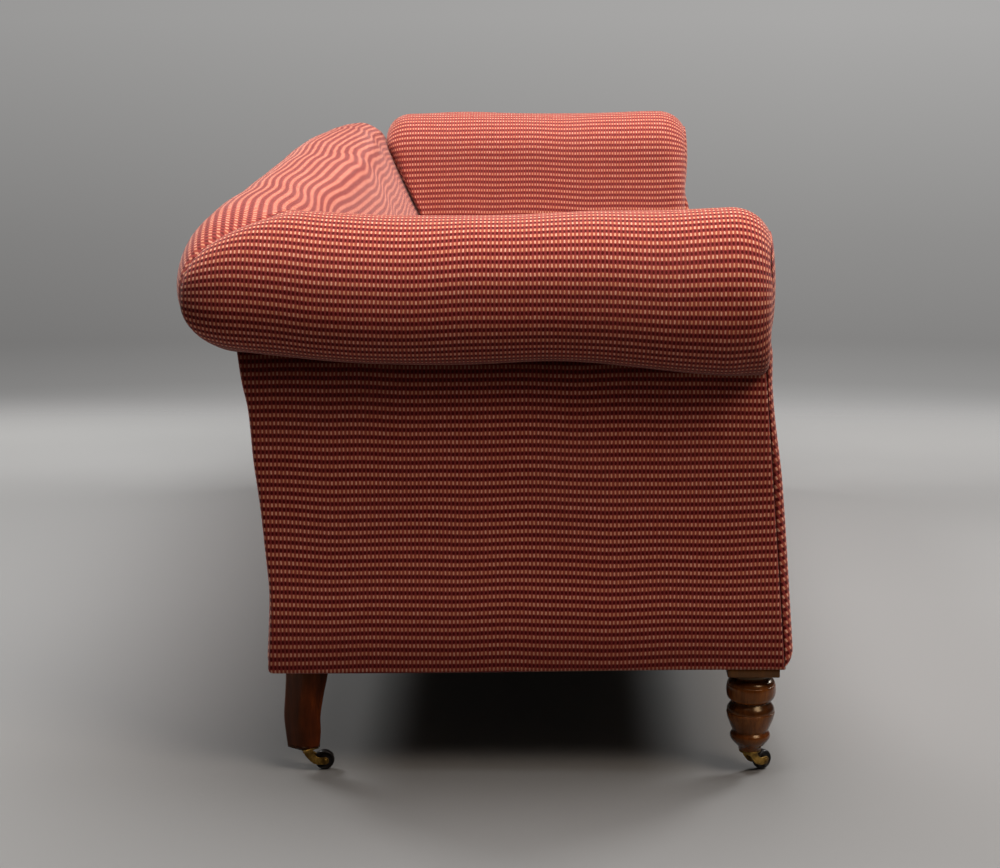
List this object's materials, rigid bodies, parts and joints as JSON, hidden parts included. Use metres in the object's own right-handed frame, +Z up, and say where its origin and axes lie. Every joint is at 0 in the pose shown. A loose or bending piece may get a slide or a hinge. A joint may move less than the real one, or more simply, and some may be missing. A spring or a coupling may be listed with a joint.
{
  "type": "roll arm sofa",
  "caption": "Roll arm sofa with a rolled back mitred to a fixed arm, a hinged drop arm at the other end, turned front legs, swept rear legs and brass castors.",
  "frame": {"origin": "on the floor under the middle of the bounding box", "axes": "+X along the length from the fixed arm to the drop arm, -Y the front, +Z up"},
  "size_m": [1.88, 0.77, 0.742],
  "materials": {
    "woven_cover": "woven upholstery cloth with rows of small dots and dashes, red and pale tan",
    "polished_wood": "polished dark brown stained hardwood",
    "beech_frame": "sawn unfinished beech",
    "castor_brass": "worn polished brass",
    "wheel_composition": "dark composition, satin",
    "hinge_steel": "dull steel",
    "spring_steel": "coppered steel wire",
    "jute_webbing": "woven jute",
    "hessian": "coarse hessian",
    "dust_cloth": "black dust cloth"
  },
  "bodies": {
    "sofa": {"back_end_facing": "woven_cover", "back_middle_post": "beech_frame", "back_pad": "woven_cover", "back_tacking_rail": "beech_frame", "back_top_rail": "beech_frame", "bottom_cloth": "dust_cloth", "castor_plate_front_left": "castor_brass", "castor_plate_front_right": "castor_brass", "castor_plate_rear_left": "castor_brass", "castor_plate_rear_right": "castor_brass", "corner_blocks": "beech_frame", "drop_end_lower_facing": "woven_cover", "fixed_arm_facing": "woven_cover", "fixed_arm_front_post": "beech_frame", "fixed_arm_outside": "woven_cover", "fixed_arm_pad": "woven_cover", "fixed_arm_tacking_rail": "beech_frame", "fixed_arm_top_rail": "beech_frame", "front_border": "woven_cover", "front_seat_rail": "beech_frame", "hinge_rail_leaves": "hinge_steel", "left_seat_rail": "beech_frame", "leg_front_left": "polished_wood", "leg_front_right": "polished_wood", "leg_rear_left": "polished_wood", "leg_rear_right": "polished_wood", "middle_cross_rail": "beech_frame", "outside_back": "woven_cover", "rear_post_left": "beech_frame", "rear_post_right": "beech_frame", "rear_seat_rail": "beech_frame", "right_rail_cover": "woven_cover", "right_seat_rail": "beech_frame", "seat_pad": "woven_cover", "seat_springs": "spring_steel", "seat_webbing": "jute_webbing", "spring_hessian": "hessian"},
    "drop_arm": {"drop_arm_front_stile": "beech_frame", "drop_arm_rear_stile": "beech_frame", "drop_arm_foot_rail": "beech_frame", "drop_arm_top_rail": "beech_frame", "drop_arm_pad": "woven_cover", "drop_arm_outside": "woven_cover", "drop_arm_facing": "woven_cover", "hinge_arm_leaves": "hinge_steel"},
    "castor_fork_front_left": {"castor_horn_front_left": "castor_brass"},
    "castor_wheel_front_left": {"castor_wheel_front_left": "wheel_composition"},
    "castor_fork_front_right": {"castor_horn_front_right": "castor_brass"},
    "castor_wheel_front_right": {"castor_wheel_front_right": "wheel_composition"},
    "castor_fork_rear_left": {"castor_horn_rear_left": "castor_brass"},
    "castor_wheel_rear_left": {"castor_wheel_rear_left": "wheel_composition"},
    "castor_fork_rear_right": {"castor_horn_rear_right": "castor_brass"},
    "castor_wheel_rear_right": {"castor_wheel_rear_right": "wheel_composition"}
  },
  "joints": [
    {"name": "drop_arm_hinge", "type": "hinge", "parent": "sofa", "child": "drop_arm", "pos_m": [0.858, 0, 0.2553], "axis": [0, 1, 0], "range_deg": [0, 75]},
    {"name": "castor_swivel_front_left", "type": "hinge", "parent": "sofa", "child": "castor_fork_front_left", "pos_m": [-0.818, -0.341, 0.031], "axis": [0, 0, 1], "continuous": true},
    {"name": "castor_wheel_spin_front_left", "type": "hinge", "parent": "castor_fork_front_left", "child": "castor_wheel_front_left", "pos_m": [-0.80446, -0.35834, 0.013], "axis": [0.788, 0.6157, 0], "continuous": true},
    {"name": "castor_swivel_front_right", "type": "hinge", "parent": "sofa", "child": "castor_fork_front_right", "pos_m": [0.818, -0.341, 0.031], "axis": [0, 0, 1], "continuous": true},
    {"name": "castor_wheel_spin_front_right", "type": "hinge", "parent": "castor_fork_front_right", "child": "castor_wheel_front_right", "pos_m": [0.80905, -0.3611, 0.013], "axis": [0.9135, -0.4067, 0], "continuous": true},
    {"name": "castor_swivel_rear_left", "type": "hinge", "parent": "sofa", "child": "castor_fork_rear_left", "pos_m": [-0.818, 0.237, 0.031], "axis": [0, 0, 1], "continuous": true},
    {"name": "castor_wheel_spin_rear_left", "type": "hinge", "parent": "castor_fork_rear_left", "child": "castor_wheel_rear_left", "pos_m": [-0.81494, 0.21521, 0.013], "axis": [0.9903, 0.1392, 0], "continuous": true},
    {"name": "castor_swivel_rear_right", "type": "hinge", "parent": "sofa", "child": "castor_fork_rear_right", "pos_m": [0.818, 0.237, 0.031], "axis": [0, 0, 1], "continuous": true},
    {"name": "castor_wheel_spin_rear_right", "type": "hinge", "parent": "castor_fork_rear_right", "child": "castor_wheel_rear_right", "pos_m": [0.82552, 0.21633, 0.013], "axis": [0.9397, 0.342, 0], "continuous": true}
  ]
}
